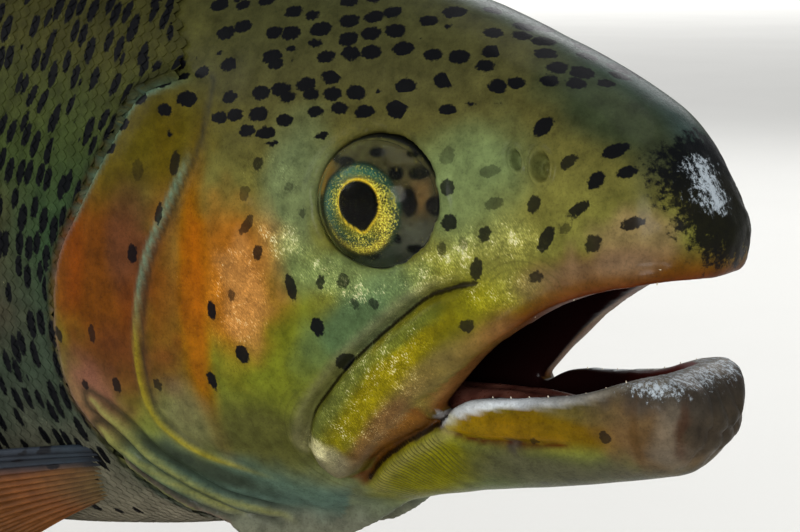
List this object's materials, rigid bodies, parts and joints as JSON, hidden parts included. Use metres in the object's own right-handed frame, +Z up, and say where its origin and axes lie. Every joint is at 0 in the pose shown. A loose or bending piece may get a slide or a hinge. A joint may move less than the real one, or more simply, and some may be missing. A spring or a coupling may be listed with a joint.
{
  "type": "rainbow trout model",
  "caption": "Life-size still model of a mature male rainbow trout, mouth a little open, held on a plain display stand.",
  "frame": {"origin": "middle of the stand's base on the floor, halfway between the snout tip and the tail fin's edge", "axes": "+X the way the fish looks, +Y to the fish's left, +Z up"},
  "size_m": [0.4588, 0.124, 0.1977],
  "materials": {
    "head_skin": "wet fish skin, olive green and gold with dark spots",
    "jaw_skin": "wet fish skin, ochre yellow",
    "gill_skin": "wet fish skin, orange pink",
    "throat_skin": "wet fish skin, pale grey green over bony rays",
    "flank_skin": "small scales, grey green with dark spots and a pink band",
    "fin": "wet fin with fine rays",
    "eye": "clear and wet over a gold iris",
    "mouth": "wet, dark red",
    "stand_wood": "dark satin lacquer",
    "stand_steel": "satin"
  },
  "bodies": {
    "root": {"head": "head_skin", "lower_jaw": "jaw_skin", "tongue": "mouth", "maxilla_right": "head_skin", "maxilla_left": "head_skin", "gill_cover_right": "gill_skin", "gill_cover_left": "gill_skin", "throat_right": "throat_skin", "throat_left": "throat_skin", "eye_right": "eye", "eye_left": "eye", "trunk_front": "flank_skin", "trunk_rear": "flank_skin", "tail_stem": "flank_skin", "dorsal_fin": "fin", "adipose_fin": "fin", "anal_fin": "fin", "caudal_fin": "fin", "pectoral_fin_right": "fin", "pectoral_fin_left": "fin", "pelvic_fin_right": "fin", "pelvic_fin_left": "fin", "stand_base": "stand_wood", "stand_rod_front": "stand_steel", "stand_rod_rear": "stand_steel"}
  },
  "joints": []
}
